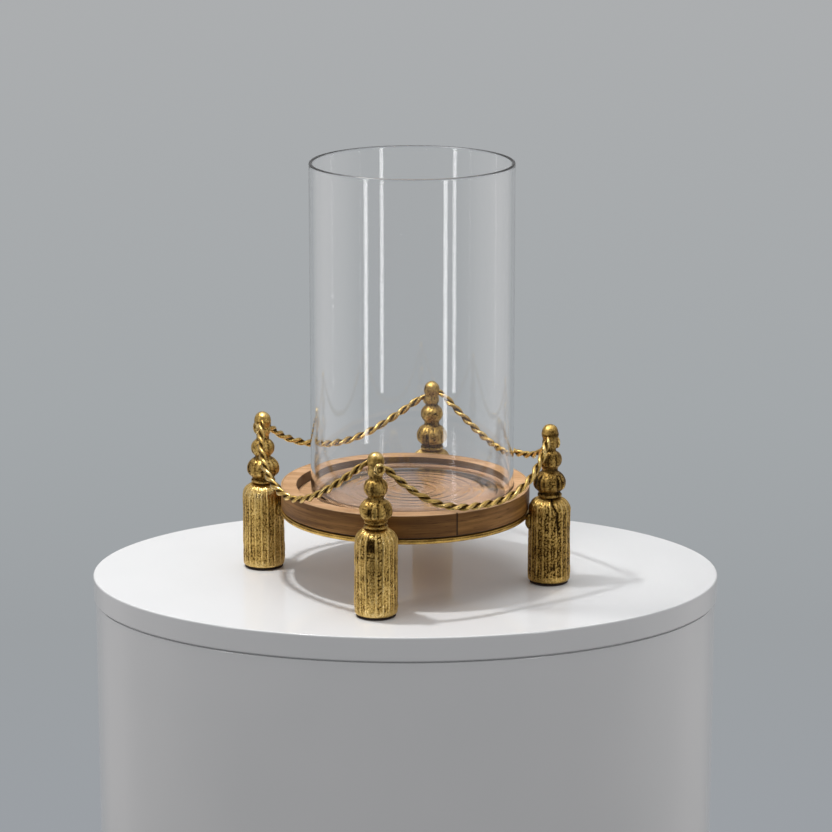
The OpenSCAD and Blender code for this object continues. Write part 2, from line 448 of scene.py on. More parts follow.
def wood_material(name, place, colours, gloss, stain_and_shade, painted_highlight=None):
    """Oiled wood with its grain along the first axis of place, a function that gives the
    places on a material in metres. colours are the pores, late wood, early wood and the
    palest streaks, and gloss is the roughness of the pale wood. Where the relief is 0 the
    wood takes the stain colour: a real stain and dark joints, and painted shade in
    recesses and gaps. Where it is 1 it takes the lighter colour, if any, a painted
    highlight on a lit edge."""
    m = new_material(name)
    pores_colour, late, early, pale = colours
    place = place(m)
    broad = m.scaled(place, (9, 70, 70))
    figure = m.noise(broad, 1.0, detail=4, roughness=0.6, distortion=0.6)
    lines = m.noise(m.scaled(place, (14, 420, 420)), 1.0, detail=3, roughness=0.6)
    pores = m.noise(m.scaled(place, (90, 1500, 1500)), 1.0, detail=2)
    tone = m.math("MULTIPLY_ADD", lines, 0.45, m.math("MULTIPLY", figure, 0.6))
    colour = m.ramp(tone, [(0.36, late), (0.52, early), (0.68, pale)])
    open_pores = m.range(pores, 0.60, 0.70, 0.0, 1.0)
    colour = m.mix(m.math("MULTIPLY", open_pores, PORE_COVER), colour, pores_colour)
    relief = m.attribute("relief").outputs["Fac"]
    # A painted highlight: a lighter colour where the relief is above 0.5, on the lit top edge of
    # the band
    if painted_highlight is not None:
        colour = m.mix(m.range(relief, 0.5, 1.0, 0.0, 1.0), colour, painted_highlight)
    # Where the relief is low: real stain and dark joints, and painted shade on the board's recess
    # wall and in the gaps beside and under the band
    colour = m.mix(m.range(relief, 0.0, 0.5, STAIN_AND_SHADE_COVER, 0.0), colour, stain_and_shade)
    m.link(colour, m.shader.inputs["Base Color"])
    m.shader.inputs["Specular IOR Level"].default_value = 0.22
    rough = m.range(tone, 0.35, 0.7, gloss + 0.1, gloss)
    m.link(m.math("MULTIPLY_ADD", open_pores, 0.2, rough), m.shader.inputs["Roughness"])
    height = m.math("MULTIPLY_ADD", open_pores, -0.6, tone)
    m.bump(height, 0.12 * MM)
    return m.owner


CLEAR = (1.0, 1.0, 1.0)
# A grey-lilac tint for the glass floor: painted shade on the wood beneath and a painted reflection
# of the room
FLOOR_SHADE_AND_REFLECTION = (0.74, 0.74, 0.79)
SHADOW_STOPS = [(0.15, (0.97, 0.97, 0.97)), (0.95, (0.55, 0.56, 0.57))]


def glass_material():
    """Clear glass with faint waves in its surface. Where the relief is 1, in the heavy
    floor, it is tinted a darker grey-lilac, which paints the shade on the wood seen
    through it and the reflection of the room. It is duller where the relief is -1, on the
    lip. Light that goes to what the glass shades passes straight through it, and loses
    more where the glass is edge on."""
    m = new_material("clear_glass")
    waves = m.noise(m.place((1, 1, 0.3)), 25, detail=1)
    specks = m.noise(m.place(), 60, detail=3)
    floor_tint_and_lip = m.attribute("relief").outputs["Fac"]
    m.link(m.mix(floor_tint_and_lip, CLEAR, FLOOR_SHADE_AND_REFLECTION), m.shader.inputs["Base Color"])
    m.shader.inputs["Transmission Weight"].default_value = 1.0
    m.shader.inputs["IOR"].default_value = 1.45
    polish = m.range(specks, 0.35, 0.8, 0.0, 0.012)
    lip = m.range(floor_tint_and_lip, -1.0, -0.2, 0.35, 0.0)
    m.link(m.math("ADD", polish, lip), m.shader.inputs["Roughness"])
    m.bump(waves, 0.06 * MM)
    edge = m.add("ShaderNodeLayerWeight")
    edge.inputs["Blend"].default_value = 0.35
    shade = m.add("ShaderNodeBsdfTransparent")
    m.link(m.ramp(edge.outputs["Facing"], SHADOW_STOPS), shade.inputs["Color"])
    lamps = m.add("ShaderNodeMixShader")
    m.link(m.add("ShaderNodeLightPath").outputs["Is Shadow Ray"], lamps.inputs[0])
    m.link(m.shader.outputs[0], lamps.inputs[1])
    m.link(shade.outputs[0], lamps.inputs[2])
    m.link(lamps.outputs[0], m.tree.nodes["Material Output"].inputs["Surface"])
    return m.owner


def plinth_material():
    """Satin white lacquer on the plinth."""
    m = new_material("plinth_lacquer")
    clouds = m.noise(m.place(), 9, detail=2)
    white = m.ramp(clouds, [(0.3, (0.85, 0.86, 0.865)), (0.7, (0.88, 0.885, 0.89))])
    m.link(white, m.shader.inputs["Base Color"])
    m.link(m.range(clouds, 0.3, 0.7, 0.10, 0.13), m.shader.inputs["Roughness"])
    m.bump(m.noise(m.place(), 700, detail=2), 0.01 * MM)
    return m.owner


# ---- legs ----

SKIRT_ROWS = 200
SKIRT_COLUMNS = 380
RIDGE_COUNT = 19
FIRST_RIDGE = {"front": 13, "right": -80, "rear": 0, "left": 79}
WIDE_PANEL = {"front": 31, "right": 19, "rear": 19, "left": 19}
RIDGE_W = 2.9
RIDGE_H = 0.42
GROOVE_FROM_RIDGE = 5.2
GROOVE_W = 2.2
GROOVE_DEPTH = 0.26
# Marks on the front leg: a ladder of bars, slanted strokes beside it, and a sunken
# window that is painted dark as a reflection of the dark room in a polished facet
LADDER_PITCH = 2.6
SLANT_PITCH = 3.4
SLANT_TURN = 22
MARK_DEPTH = 0.28
WINDOW_LOW_Z = 49.5
WINDOW_HIGH_Z = 60.5
WINDOW_EDGE = 1.5
WINDOW_DEPTH = 0.5
PIT_DEPTH = 0.26
DENT_DEPTH = 0.15
# How far the whole surface lies under the CAD's outline, so that its ridges stay inside
SINK = 0.3
# How much more of a leg is dark
PATINA = {"front": -0.05, "right": 0.13, "rear": 0.02, "left": -0.07}
LEG_SEEDS = {"front": 11, "right": 23, "rear": 37, "left": 41}


def leg_axis(side):
    angle = math.radians(LEGS[side])
    return LEG_CIRCLE_R * math.cos(angle), LEG_CIRCLE_R * math.sin(angle)


def skirt_section(side):
    """Half outline of a skirt from under its middle, out and up to the stem's collar."""
    edge_r = 2.2
    shoulder_z = SKIRT_TOP_Z[side] - SHOULDER_R
    return np.vstack(
        [
            line((4, PAD_T), (FOOT_R - edge_r, PAD_T), 4),
            arc((FOOT_R - edge_r, PAD_T + edge_r), edge_r, -90, 0),
            line((FOOT_R, FLARE_LOW_Z), (SKIRT_R, FLARE_HIGH_Z)),
            line((SKIRT_R, FLARE_HIGH_Z), (SKIRT_R, shoulder_z)),
            arc((SKIRT_R - SHOULDER_R, shoulder_z), SHOULDER_R, 0, 88, 24),
        ]
    )


def ridge_distance(rng, side, z, angle):
    """Angle in degrees from every point to the nearest ridge of a skirt, with each point's
    nearest ridge and the panel it lies in. Panel 0 comes before the first ridge."""
    wide = WIDE_PANEL[side]
    pitch = (360 - wide) / (RIDGE_COUNT - 1)
    middle = FIRST_RIDGE[side] + pitch * np.arange(RIDGE_COUNT)
    middle = middle + rng.uniform(-1.5, 1.5, RIDGE_COUNT)
    sway = rng.uniform(-1, 1, (3, RIDGE_COUNT))
    wander = (
        1.1 * sway[0] * np.sin(z[:, None] / 11 + 6 * sway[1])
        + 0.5 * sway[2] * np.sin(z[:, None] / 4.3 + 5 * sway[0])
    )
    degrees = np.degrees(angle)[None, :, None]
    delta = (degrees - middle - wander[:, None, :] + 180) % 360 - 180
    nearest = np.abs(delta).argmin(-1)
    distance = np.take_along_axis(delta, nearest[..., None], -1)[..., 0]
    panel = (nearest + (distance > 0)) % RIDGE_COUNT
    return distance, nearest, panel


def skirt_relief(side, section, angle):
    """Height in millimetres of a skirt's cast surface over its plain outline, and how
    much of its patina is rubbed off. In the front leg's window that value is also
    lowered as a painted dark reflection."""
    rng = np.random.default_rng(LEG_SEEDS[side])
    shape = (len(section), len(angle))
    z = section[:, 1]
    distance, nearest, panel = ridge_distance(rng, side, z, angle)
    size = rng.uniform(0.55, 1.15, RIDGE_COUNT)[nearest]
    size = size * (0.72 + 0.55 * noise_grid(rng, shape, (16, 38)))
    crest = size * bump_at(distance, 0, RIDGE_W)
    groove = size * bump_at(np.abs(distance), GROOVE_FROM_RIDGE, GROOVE_W)
    inside = fade(np.abs(distance), 2.2, 4.6)

    z_grid = z[:, None] + 0.5 * noise_grid(rng, shape, (20, 24))
    degrees = np.degrees(angle)[None, :]
    ladder = (0.5 + 0.5 * np.cos(2 * math.pi * z_grid / LADDER_PITCH)) ** 2
    slanted = 2 * math.pi * (z_grid / SLANT_PITCH - degrees / SLANT_TURN)
    slanted = (0.5 + 0.5 * np.cos(slanted)) ** 2
    broken = fade(noise_grid(rng, shape, (26, 46)), -0.5, 0.3)
    marks = np.zeros(shape)
    reflection_window = np.zeros(shape)
    if side == "front":
        reach = fade(z, 30, 44)[:, None] + 0.5 * bump_at(z, 20, 6)[:, None]
        marks = np.where(panel == 0, ladder * reach, 0) + np.where(panel == 1, slanted, 0)
        above_sill = fade(z, WINDOW_LOW_Z, WINDOW_LOW_Z + WINDOW_EDGE)
        under_head = 1 - fade(z, WINDOW_HIGH_Z - WINDOW_EDGE, WINDOW_HIGH_Z)
        reflection_window = np.where(panel == 0, (above_sill * under_head)[:, None], 0) * inside
        marks = marks * (1 - reflection_window)
    marks = marks * broken * inside

    grain = noise_grid(rng, shape, (84, 132)) + 0.8 * noise_grid(rng, shape, (130, 190))
    pits = fade(grain, -0.6, 1.0) * (0.55 + 0.45 * inside)
    pits = pits * (0.85 + 0.35 * noise_grid(rng, shape, (9, 12)))
    low_edge = fade(z, PAD_T + 2.0, PAD_T + 6.0)
    dome = fade(-section[:, 0], -SKIRT_R + 0.5, -9)
    pattern = (low_edge * (1 - 0.45 * dome))[:, None]
    stipple = ((0.5 + 0.5 * low_edge) * (1 - 0.8 * dome))[:, None]
    dents = noise_grid(rng, shape, (7, 9))

    height = RIDGE_H * crest - GROOVE_DEPTH * groove - MARK_DEPTH * marks
    height = pattern * (height - WINDOW_DEPTH * reflection_window)
    height = height - PIT_DEPTH * stipple * pits + DENT_DEPTH * dents - SINK
    # In the front leg's window the colour is darkened as a painted dark reflection
    rubbed = 0.66 + pattern * (0.20 * crest - 0.30 * groove - 0.45 * marks - 0.60 * reflection_window)
    rubbed = rubbed - 0.52 * stipple * pits + 0.12 * dents - PATINA[side]
    rubbed = rubbed + 0.20 * bump_at(z, SKIRT_TOP_Z[side] - 5, 4)[:, None]
    rubbed = rubbed + 0.16 * bump_at(z, PAD_T + 3, 3)[:, None]
    if side == "right":
        crack = casting_crack(z, angle)
        height = height - crack
        rubbed = rubbed - 0.7 * crack
    return height * fade(np.arange(len(z)), 2, 8)[:, None], np.clip(rubbed, 0, 1)


CRACK_ANGLE = -72
CRACK_BEND = 14
CRACK_W = 2.8
CRACK_DEPTH = 1.4


def casting_crack(z, angle):
    """Depth of the one deep groove in the right leg, which runs down from the neck."""
    way = CRACK_ANGLE + CRACK_BEND * fade(-z, -62, -55) + 1.2 * np.sin(z / 3)
    delta = (np.degrees(angle)[None, :] - way[:, None] + 180) % 360 - 180
    depth = CRACK_DEPTH * fade(z, 30, 55) * (1 - 0.4 * fade(z, 63, 65))
    return depth[:, None] * bump_at(delta, 0, CRACK_W)


def add_skirt(side, material):
    section = resample(skirt_section(side), SKIRT_ROWS)
    normals = outline_normals(section)
    angle = around(SKIRT_COLUMNS)
    height, rubbed = skirt_relief(side, section, angle)
    radius = section[:, :1] + height * normals[:, :1]
    z = section[:, 1:] + height * normals[:, 1:]
    centre = leg_axis(side)
    grid = turned(radius, z, angle[None, :] + math.radians(LEGS[side]), centre)
    points, faces = tube_mesh(grid)
    add_piece(
        f"skirt_{side}", f"tassel_skirt_{side}", "stand",
        points, faces, material, with_ends(rubbed),
    )


COLLAR_R = 8.9
WAIST_R = 5.9
NECK_R = 4.7
LARGE_BEAD_R = 12.1
SMALL_BEAD_R = 8.8
KNUCKLE_R = 5.7
KNUCKLE_HALF_H = 4
KNUCKLE_DROP = 8.5
CAP_R = 6.2
STEM_ROWS = 230
STEM_COLUMNS = 220
LARGE_BEAD_FLUTES = 14
SMALL_BEAD_FLUTES = 8
LARGE_FLUTE_DEPTH = 1.3
SMALL_FLUTE_DEPTH = 0.8
FLUTING = {"front": 0.7, "right": 0.95, "rear": 0.45, "left": 0.8}
OVAL_W = 7
OVAL_H = 3.6
# Deep oval hollows in the large beads: direction from outwards, in degrees, and depth
OVAL_HOLLOWS = {
    "front": [(-14, 1.0), (62, 0.5)],
    "right": [(-48, 0.8), (-140, 0.6)],
    "rear": [(20, 0.8), (170, 0.7)],
    "left": [(120, 0.7), (30, 0.8)],
}


def stem_section(side):
    """Half outline of a stem: collar, two beads, a knuckle and the round cap."""
    low_z = SKIRT_TOP_Z[side]
    cap_z = CAP_TOP_Z[side] - CAP_R
    large_z, small_z = LARGE_BEAD_Z[side], SMALL_BEAD_Z[side]
    collar_z = large_z - LARGE_BEAD_HALF_H
    z = np.linspace(low_z + 0.3, cap_z, 400)

    def swell(radius, middle, half_h, droop=0.0):
        """Radius of a bead whose widest place is droop under its middle."""
        reach = np.where(z > middle - droop, half_h + droop, half_h - droop)
        share = np.clip(np.abs(z - middle + droop) / reach, 0, 1)
        return radius * (1 - share ** 2.3) ** 0.5

    knuckle_z = cap_z - KNUCKLE_DROP
    core = WAIST_R + (NECK_R - WAIST_R) * fade(z, small_z - 3, small_z + 3)
    core = core + 0.7 * fade(z, knuckle_z, knuckle_z + 2)
    ridges = [
        core,
        swell(LARGE_BEAD_R, large_z, LARGE_BEAD_HALF_H + 0.4, 1.1),
        swell(SMALL_BEAD_R, small_z, SMALL_BEAD_HALF_H + 0.3),
        swell(KNUCKLE_R, knuckle_z, KNUCKLE_HALF_H),
        swell(CAP_R, cap_z, CAP_R),
        swell(COLLAR_R - 0.6, collar_z - 0.5, 1.6),
        swell(COLLAR_R, low_z + 1.2, 2.4),
    ]
    # A high power follows the widest of the shapes, with a small fillet between them
    blend = 9
    radius = sum(ridge ** blend for ridge in ridges) ** (1 / blend)
    return np.vstack(
        [
            line((3, low_z), (COLLAR_R - 1.5, low_z), 3),
            np.stack([radius, z], -1),
            arc((0, cap_z), CAP_R, 1, 88, 30),
        ]
    )


def grooves(rng, angle, count, width):
    """Depth, about 1 at most, of uneven upright grooves round a bead."""
    middle = 360 / count * (np.arange(count) + rng.uniform(-0.28, 0.28, count))
    depth = rng.uniform(0.35, 1.1, count)
    widths = width * rng.uniform(0.75, 1.35, count)
    delta = (np.degrees(angle)[:, None] - middle + 180) % 360 - 180
    return (depth * bump_at(delta, 0, widths)).sum(-1)


def add_stem(side, material):
    rng = np.random.default_rng(LEG_SEEDS[side] + 100)
    section = resample(stem_section(side), STEM_ROWS)
    normals = outline_normals(section)
    angle = around(STEM_COLUMNS)
    shape = (STEM_ROWS, STEM_COLUMNS)
    z = section[:, 1]
    large_z, small_z = LARGE_BEAD_Z[side], SMALL_BEAD_Z[side]
    neck_z = (large_z + LARGE_BEAD_HALF_H + small_z - SMALL_BEAD_HALF_H) / 2
    cap_z = CAP_TOP_Z[side] - CAP_R

    large = 1 - fade(np.abs(z - large_z), LARGE_BEAD_HALF_H - 4, LARGE_BEAD_HALF_H - 0.3)
    small = 1 - fade(np.abs(z - small_z), SMALL_BEAD_HALF_H - 3.5, SMALL_BEAD_HALF_H - 0.5)
    large_cut = grooves(rng, angle, LARGE_BEAD_FLUTES, 4.2)[None, :]
    small_cut = grooves(rng, angle, SMALL_BEAD_FLUTES, 5.5)[None, :]
    cuts = LARGE_FLUTE_DEPTH * large[:, None] * large_cut
    cuts = cuts + SMALL_FLUTE_DEPTH * small[:, None] * small_cut
    cuts = FLUTING[side] * cuts
    oval = np.zeros(shape)
    for degrees, depth in OVAL_HOLLOWS[side]:
        delta = (np.degrees(angle) - degrees + 180) % 360 - 180
        across = bump_at(delta, 0, OVAL_W)[None, :]
        oval = oval + depth * across * bump_at(z, large_z, OVAL_H)[:, None]
    dents = noise_grid(rng, shape, (18, 11))
    grain = noise_grid(rng, shape, (76, 62)) + 0.6 * noise_grid(rng, shape, (130, 110))
    pits = fade(grain, 0.1, 1.0)
    smooth = fade(z, cap_z - 6, cap_z)[:, None]
    waists = bump_at(z, large_z - LARGE_BEAD_HALF_H + 1.2, 0.8)
    waists = waists + bump_at(z, neck_z, 1.3) + bump_at(z, SKIRT_TOP_Z[side] + 2.7, 0.5)
    waists = waists + bump_at(z, small_z + SMALL_BEAD_HALF_H + 0.5, 1.2)

    height = 0.22 * dents - cuts - 1.1 * oval - 0.16 * pits * (1 - 0.7 * smooth) - 0.05
    scallop = -1.1 * large_cut * bump_at(z, large_z - LARGE_BEAD_HALF_H + 1, 2.2)[:, None]
    ends = fade(np.arange(STEM_ROWS), 2, 6) * (1 - 0.8 * fade(z, cap_z + 5, cap_z + CAP_R))
    height = height * ends[:, None]
    radius = section[:, :1] + height * normals[:, :1]
    level = section[:, 1:] + height * normals[:, 1:] + scallop * ends[:, None]
    grid = turned(radius, level, angle[None, :] + math.radians(LEGS[side]), leg_axis(side))
    rubbed = 0.60 - 0.42 * np.minimum(cuts, 1.2) - 0.75 * oval - 0.30 * waists[:, None]
    rubbed = rubbed + 0.16 * dents - 0.45 * pits * (1 - 0.6 * smooth) - PATINA[side]
    rubbed = rubbed - 0.45 * fade(dents, 0.1, 0.7) * smooth
    rubbed = rubbed + 0.30 * fade(z, cap_z + 2, cap_z + 5)[:, None]
    points, faces = tube_mesh(grid)
    add_piece(
        f"stem_{side}", f"tassel_stem_{side}", "stand",
        points, faces, material, with_ends(np.clip(rubbed, 0, 1)),
    )


def add_eyelet(side, material):
    """A closed loop of the swag's wire on the outside of a leg."""
    rng = np.random.default_rng(LEG_SEEDS[side] + 200)
    low, high = node_box(f"wire_eyelet_{side}")
    turn = math.radians(LEGS[side] + EYELET_TURN)
    outwards = np.array([math.cos(turn), math.sin(turn), 0])
    sideways = np.array([-math.sin(turn), math.cos(turn), 0])
    upwards = np.array([0, 0, 1.0])
    x, y = leg_axis(side)
    centre = np.array([x, y, (low[2] + high[2]) / 2]) + EYELET_OUT[side] * outwards
    shape = (96, 28)
    around_loop = around(shape[0])[:, None]
    around_wire = around(shape[1])[None, :]
    dents = 0.10 * noise_grid(rng, shape, (16, 8))
    wire_r = WIRE_D / 2 - 0.1 + dents
    loop_r = EYELET_LOOP_R + wire_r * np.cos(around_wire)
    rise = -wire_r * np.sin(around_wire)
    grid = (
        centre
        + (loop_r * np.cos(around_loop))[..., None] * sideways
        + (loop_r * np.sin(around_loop))[..., None] * upwards
        + (rise + 0 * around_loop)[..., None] * outwards
    )
    # Lighter on the loop's outer rim and the side away from the leg, darker inside the loop and
    # towards the leg: partly patina, partly painted shade
    relief = 0.44 + 0.34 * np.cos(around_wire) - 0.2 * np.sin(around_wire) + 2 * dents
    points, faces = tube_mesh(grid, looped=True)
    add_piece(
        f"eyelet_{side}", f"wire_eyelet_{side}", "stand",
        points, faces, material, np.clip(relief + 0 * around_loop, 0, 1),
    )


def add_pad(side, material):
    """A felt disc under a leg, slightly soft at its edge."""
    rng = np.random.default_rng(LEG_SEEDS[side] + 300)
    edge_r = 0.45
    section = np.vstack(
        [
            line((2, 0), (PAD_R - edge_r, 0), 3),
            arc((PAD_R - edge_r, edge_r), edge_r, -90, 0, 4),
            arc((PAD_R - edge_r, PAD_T - edge_r), edge_r, 0, 90, 4),
            line((PAD_R - edge_r - 1, PAD_T), (2, PAD_T), 3),
        ]
    )
    angle = around(120)
    fuzz = 0.12 * noise_grid(rng, (len(section), 120), (4, 60))
    radius = section[:, :1] - 0.1 + np.where(section[:, :1] > PAD_R - 1, fuzz, 0)
    grid = turned(radius, section[:, 1:], angle[None, :], leg_axis(side))
    points, faces = tube_mesh(grid)
    add_piece(
        f"pad_{side}", f"felt_pad_{side}", "stand", points, faces, material
    )


# ---- swags ----

WIRE_RINGS = 420
WIRE_SIDES = 24
# Rings at each end of a wire over which it tapers towards the cap
TAPER_RINGS = 14


def swag_line(bow, low_z, end_z, power, bow_power):
    """Points of a swag from leg to leg. x runs along the chord and y points outwards."""
    half_chord = LEG_CIRCLE_R * math.sin(math.radians(45))
    end_t = 1 - WIRE_START / math.hypot(half_chord, bow * bow_power)
    t = np.linspace(-end_t, end_t, WIRE_RINGS)
    away = np.abs(t)
    y = half_chord + bow * (1 - away ** bow_power)
    z = low_z + (end_z - low_z) * away ** power - WIRE_TUCK * fade(away, 0.9, end_t)
    return np.stack([half_chord * t, y, z], -1)


def cross_directions(points):
    """Two directions square to a line and to each other, at each of its points."""
    along = unit(np.gradient(points, axis=0))
    side_a = unit(np.cross(np.array([0, 1.0, 0]), along))
    return side_a, np.cross(along, side_a)


def run_of(points):
    """Length along a line up to each of its points."""
    return np.concatenate([[0], np.cumsum(np.linalg.norm(np.diff(points, axis=0), axis=1))])


def add_swag_wire(swag, strand, material):
    """One of the two wires that a swag is twisted from."""
    name, first_leg, bow, low_z, end_z, power, bow_power = swag
    rng = np.random.default_rng(500 + first_leg + 7 * strand)
    middle = swag_line(bow, low_z, end_z, power, bow_power)
    side_a, side_b = cross_directions(middle)
    turn = math.pi * strand - 2 * math.pi * run_of(middle) / TWIST_PITCH
    outwards = np.cos(turn)[:, None] * side_a + np.sin(turn)[:, None] * side_b
    ring = np.arange(WIRE_RINGS)
    full = fade(np.minimum(ring, ring[::-1]), 0, TAPER_RINGS)[:, None]
    wire = middle + WIRE_OFFSET * (0.5 + 0.5 * full) * outwards
    wire_a, wire_b = cross_directions(wire)
    around_wire = around(WIRE_SIDES)
    shape = (WIRE_RINGS, WIRE_SIDES)
    dents = 0.10 * noise_grid(rng, shape, (64, 6)) + 0.03 * noise_grid(rng, shape, (200, 12))
    radius = (WIRE_D / 2 + dents) * (0.75 + 0.25 * full)
    facing = (
        np.cos(around_wire)[None, :, None] * wire_a[:, None, :]
        + np.sin(around_wire)[None, :, None] * wire_b[:, None, :]
    )
    grid = wire[:, None, :] + radius[..., None] * facing
    away = (facing * outwards[:, None, :]).sum(-1)
    shade = noise_grid(rng, shape, (46, 5))
    # Darker on the side of each wire that faces the crevice between the two: partly patina, partly
    # painted shade
    relief = 0.02 + 0.60 * fade(away, -0.50, 0.40) + 0.18 * shade + 1.6 * dents
    grid = spun(grid[..., 0], grid[..., 1], grid[..., 2], first_leg - 45)
    points, faces = tube_mesh(grid)
    letter = "ab"[strand]
    add_piece(
        f"swag_{name}_{letter}", f"swag_{name}_wire_{letter}", "stand",
        points, faces, material, with_ends(np.clip(relief, 0, 1)),
    )


# ---- ring ----


def add_ring(material):
    """The bar bent to a ring, a little uneven along its length."""
    rng = np.random.default_rng(71)
    half_t = RING_T / 2
    middle_z = RING_TOP_Z - half_t
    inner_r = RING_R - RING_W
    section = np.vstack(
        [
            arc((RING_R - half_t, middle_z), half_t, -90, 90, 24),
            held_line((RING_R - half_t - 0.01, RING_TOP_Z), (inner_r + 0.6, RING_TOP_Z), 0.6),
            arc((inner_r + 0.6, RING_TOP_Z - 0.6), 0.6, 90, 180, 4),
            arc((inner_r + 0.6, middle_z - half_t + 0.6), 0.6, 180, 270, 4),
            held_line(
                (inner_r + 0.61, middle_z - half_t), (RING_R - half_t, middle_z - half_t), 0.6
            ),
        ]
    )
    columns = 480
    shape = (len(section), columns)
    angle = around(columns)
    wobble = -0.06 + 0.05 * noise_grid(rng, shape, (2, 60))
    seam = bump_at(section[:, 1:], middle_z + 0.7, 0.4) * (section[:, :1] > RING_R - 2)
    radius = section[:, :1] + np.where(section[:, :1] > RING_R - 2, wobble, 0) - 0.3 * seam
    grid = turned(radius, section[:, 1:], angle[None, :])
    relief = 0.66 + 0.25 * noise_grid(rng, shape, (6, 90)) - 0.6 * seam
    points, faces = tube_mesh(grid, looped=True)
    add_piece(
        "ring", "tray_ring", "stand", points, faces, material,
        np.clip(relief, 0, 1),
    )


def add_brazing(material):
    """Lumps of braze metal in the corners between the ring and the skirts."""
    rng = np.random.default_rng(83)
    all_points, all_faces, all_relief = [], [], []
    count = 0
    rows, columns = 16, 24
    polar = np.linspace(0.12, math.pi - 0.12, rows)[::-1, None]
    angle = around(columns)[None, :]
    for leg_angle in LEGS.values():
        for side in (-1, 1):
            lumps = 1 + 0.18 * noise_grid(rng, (rows, columns), (5, 7))
            x = BRAZE_OUT + 1.2 + 3.0 * lumps * np.sin(polar) * np.cos(angle)
            y = side * (BRAZE_SIDE + 1.2) + 3.4 * lumps * np.sin(polar) * np.sin(angle)
            z = BRAZE_Z + BRAZE_HALF_H * (0.9 + 0.1 * lumps) * np.cos(polar) + 0 * angle
            points, faces = tube_mesh(spun(x, y, z, leg_angle))
            all_points.append(points)
            all_faces += [[count + i for i in face] for face in faces]
            all_relief.append(with_ends(0.16 + 0.9 * (lumps - 1)))
            count += len(points)
    add_piece(
        "brazing", "ring_brazing", "stand",
        np.vstack(all_points), all_faces, material, np.clip(np.concatenate(all_relief), 0, 1),
    )


# ---- tray ----


def add_board(material):
    """The round board with its recess; the recess wall has a small fillet at its foot."""
    edge_r = 0.5
    section = np.vstack(
        [
            line((1, BOARD_BOTTOM_Z), (BOARD_R - 6, BOARD_BOTTOM_Z), 8),
            held_line((BOARD_R - 6, BOARD_BOTTOM_Z), (BOARD_R - edge_r, BOARD_BOTTOM_Z)),
            arc((BOARD_R - edge_r, BOARD_BOTTOM_Z + edge_r), edge_r, -90, 0, 4),
            held_line((BOARD_R, BOARD_BOTTOM_Z + edge_r + 0.01), (BOARD_R, TRAY_TOP_Z - 0.16)),
            arc((BOARD_R - 0.15, TRAY_TOP_Z - 0.15), 0.15, 0, 90, 2),
            held_line((BOARD_R - 0.16, TRAY_TOP_Z), (RECESS_R + edge_r, TRAY_TOP_Z)),
            arc((RECESS_R + edge_r, TRAY_TOP_Z - edge_r), edge_r, 90, 180, 5),
            held_line((RECESS_R, TRAY_TOP_Z - edge_r - 0.01), (RECESS_R, RECESS_FLOOR_Z + 0.4)),
            arc((RECESS_R - 0.4, RECESS_FLOOR_Z + 0.4), 0.4, 0, -90, 4),
            held_line((RECESS_R - 0.41, RECESS_FLOOR_Z), (RECESS_R - 8, RECESS_FLOOR_Z)),
            line((RECESS_R - 8, RECESS_FLOOR_Z), (1, RECESS_FLOOR_Z), 8),
        ]
    )
    angle = around(360)
    grid = turned(section[:, :1], section[:, 1:], angle[None, :])
    points, faces = tube_mesh(grid)
    radius, z = section[:, 0], section[:, 1]
    # The recess wall, the board's side behind the band and the outer edge of its underside take
    # the dark stain colour: partly a real stain, mostly painted shade where they lie in shadow or
    # in narrow gaps
    recess_wall = (np.abs(radius - RECESS_R + 0.1) < 0.2) & (z < TRAY_TOP_Z - edge_r)
    hidden_side = (radius > BOARD_R - 1) & (z < TRAY_TOP_Z - 0.1)
    under_edge = (radius > BOARD_R - 6.5) & (z < BOARD_BOTTOM_Z + 0.1)
    stained_and_shaded = recess_wall | hidden_side | under_edge
    relief = np.where(stained_and_shaded, 0.0, 1.0)[:, None] + 0 * angle[None, :]
    add_piece(
        "board", "tray_board", "tray", points, faces, material,
        with_ends(relief),
    )


def add_edge_band(material):
    """The strip of wood bent round the board, open at its butt joint."""
    edge_r = 0.6
    top = TRAY_TOP_Z
    section = np.vstack(
        [
            held_line((BOARD_R, BAND_BOTTOM_Z), (BOARD_R, top), 0.3),
            line((BOARD_R, top), (TRAY_R - edge_r, top), 2),
            arc((TRAY_R - edge_r, top - edge_r), edge_r, 90, 0, 6),
            held_line((TRAY_R, top - edge_r - 0.01), (TRAY_R, BAND_BOTTOM_Z + 0.4), 0.3),
            arc((TRAY_R - 0.4, BAND_BOTTOM_Z + 0.4), 0.4, 0, -90, 4),
        ]
    )
    half_gap = math.degrees(BAND_JOINT_W / 2 / TRAY_R)
    near = half_gap + np.array([0, 0.15, 0.3, 0.5, 0.8])
    degrees = np.concatenate([near, np.linspace(1.5, 358.5, 358), 360 - near[::-1]])
    angle = np.radians(BAND_JOINT_ANGLE + degrees)[:, None]
    grid = turned(section[None, :, 0], section[None, :, 1], angle)
    points, faces = tube_mesh(grid)
    # The rounded top edge is painted lighter as a highlight where light catches it; near the joint
    # the band takes the dark stain, a dark joint
    arris_highlight = bump_at(section[:, 0], TRAY_R - 0.5, 0.45) * fade(section[:, 1], top - 1, top - 0.2)
    from_joint = np.minimum(degrees, 360 - degrees)[:, None]
    relief = 0.5 * fade(from_joint, 0.1, 0.65) * (1 + arris_highlight[None, :])
    piece = add_piece(
        "edge_band", "tray_edge_band", "tray", points, faces, material,
        with_ends(relief),
    )
    # The same points with the strip laid out straight, in metres, for its grain
    parts = np.broadcast_arrays(TRAY_R * angle, section[None, :, 0], section[None, :, 1])
    strip = np.stack(parts, -1)
    strip = np.vstack([strip.reshape(-1, 3), strip[0].mean(0), strip[-1].mean(0)]) * MM
    attribute = piece.data.attributes.new("strip", "FLOAT_VECTOR", "POINT")
    attribute.data.foreach_set("vector", strip.astype(np.float32).ravel())


# ---- glass ----


